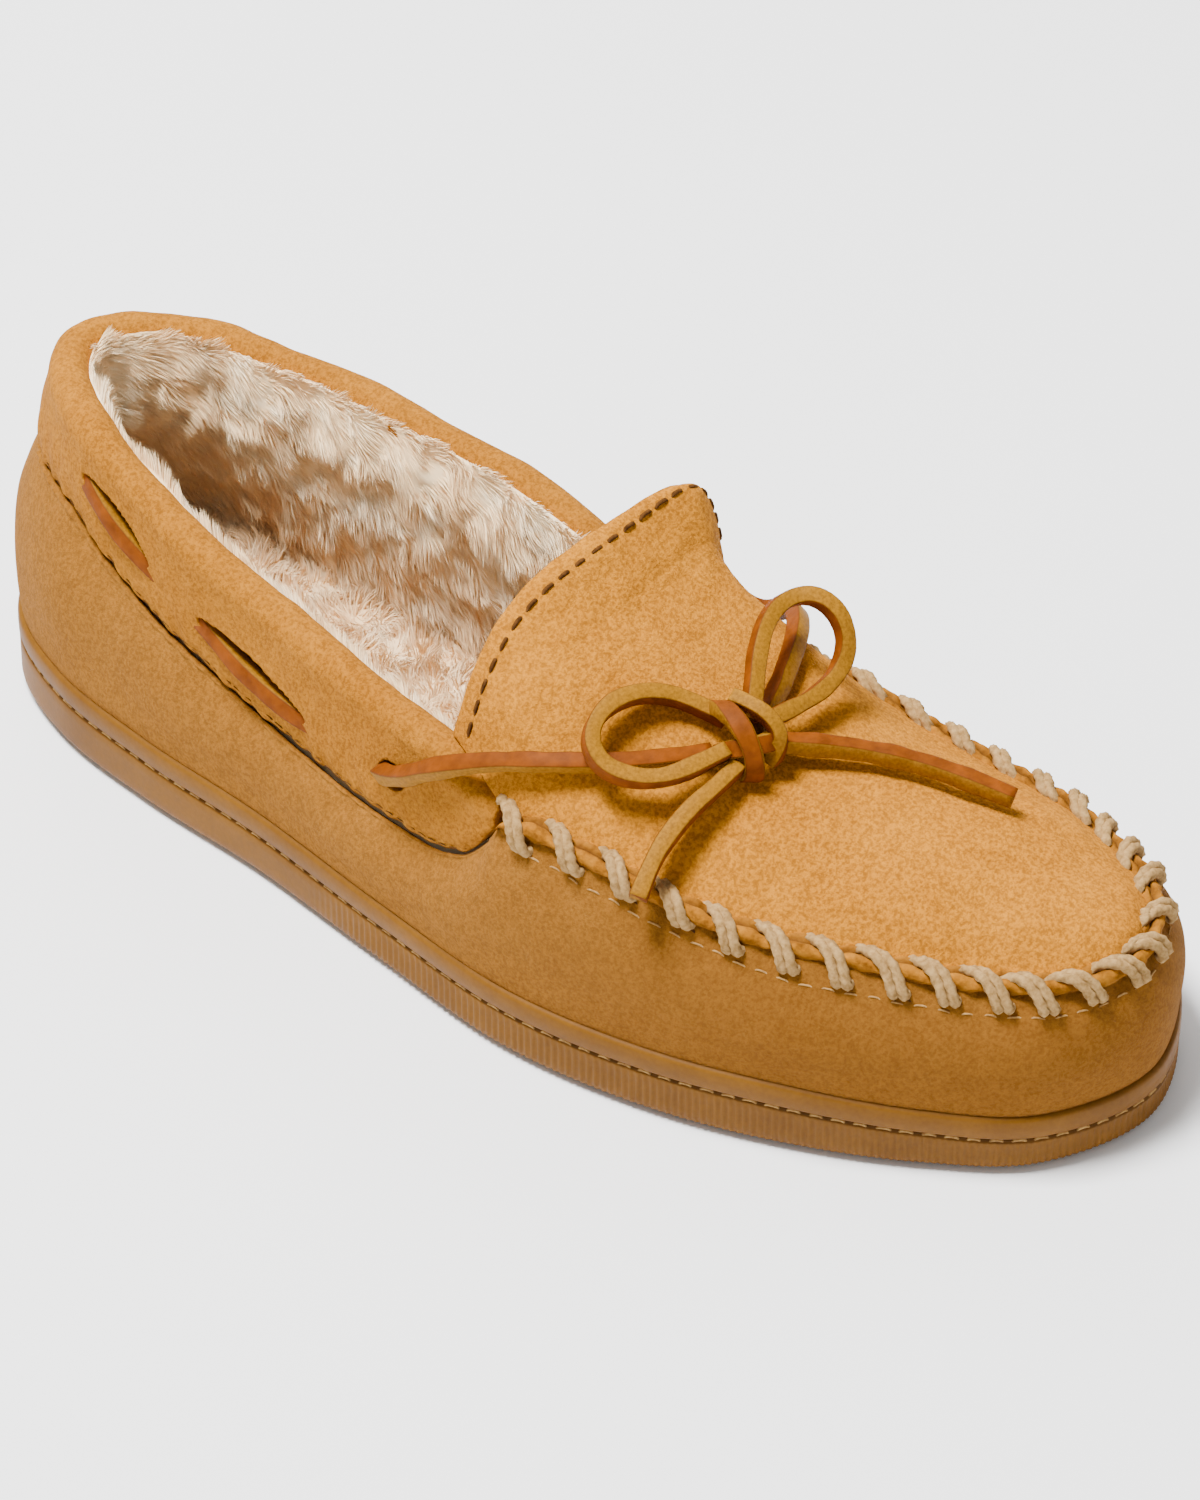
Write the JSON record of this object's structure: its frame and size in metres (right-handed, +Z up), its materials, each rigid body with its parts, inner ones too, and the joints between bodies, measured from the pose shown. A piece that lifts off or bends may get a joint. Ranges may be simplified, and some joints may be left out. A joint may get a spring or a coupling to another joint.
{
  "type": "moccasin",
  "caption": "Right-foot hard-sole moccasin slipper with suede upper, pile lining, padded laced collar, whipstitched plug, tongue and tied rawhide bow.",
  "frame": {"origin": "centre of the bounding box at the ground plane under the outsole", "axes": "+Z up; +Y towards the heel, -Y towards the toe; -X the outer (lateral) side and +X the inner (medial) side of a right shoe"},
  "size_m": [0.0943, 0.262, 0.0859],
  "materials": {
    "suede": "napped golden-tan suede",
    "pile": "cream faux-fur pile",
    "sole_rubber": "semi-gloss brown moulded rubber, ribbed edge",
    "rawhide": "waxed rawhide lace, sienna grain side and olive cut edges",
    "cream_thread": "thick cream twisted thread",
    "brown_thread": "dark brown machine thread",
    "board": "fibre board",
    "foam": "soft open-cell foam"
  },
  "bodies": {
    "root": {"outsole": "sole_rubber", "insole_board": "board", "footbed_foam": "foam", "footbed_pile": "pile", "side_wall": "suede", "heel_counter": "board", "quarter_lining": "pile", "vamp_lining": "pile", "plug": "suede", "plug_lining": "pile", "collar_cover": "suede", "collar_padding": "foam", "lace_collar_run": "rawhide", "bow_knot": "rawhide", "lace_front_lateral": "rawhide", "lace_front_medial": "rawhide", "lace_tail_lateral": "rawhide", "lace_tail_medial": "rawhide", "whip_stitches": "cream_thread", "collar_stitches": "brown_thread"},
    "tongue": {"tongue": "suede", "tongue_lining": "pile", "tongue_stitches": "brown_thread"},
    "bow_loop_lateral": {"bow_loop_lateral": "rawhide"},
    "bow_loop_medial": {"bow_loop_medial": "rawhide"}
  },
  "joints": [
    {"name": "tongue_flex", "type": "hinge", "parent": "root", "child": "tongue", "pos_m": [-0.002, -0.0195, 0.061], "axis": [1, 0, 0], "range_deg": [-8, 8], "stiffness_Nm_per_rad": 0.25},
    {"name": "loop_lateral_flex", "type": "hinge", "parent": "root", "child": "bow_loop_lateral", "pos_m": [-0.009, -0.049, 0.0635], "axis": [0.4499, 0.8299, 0.33], "range_deg": [0, 25], "stiffness_Nm_per_rad": 0.02},
    {"name": "loop_medial_flex", "type": "hinge", "parent": "root", "child": "bow_loop_medial", "pos_m": [-0.009, -0.049, 0.0635], "axis": [1, 0, 0], "range_deg": [-12, 12], "stiffness_Nm_per_rad": 0.02}
  ]
}
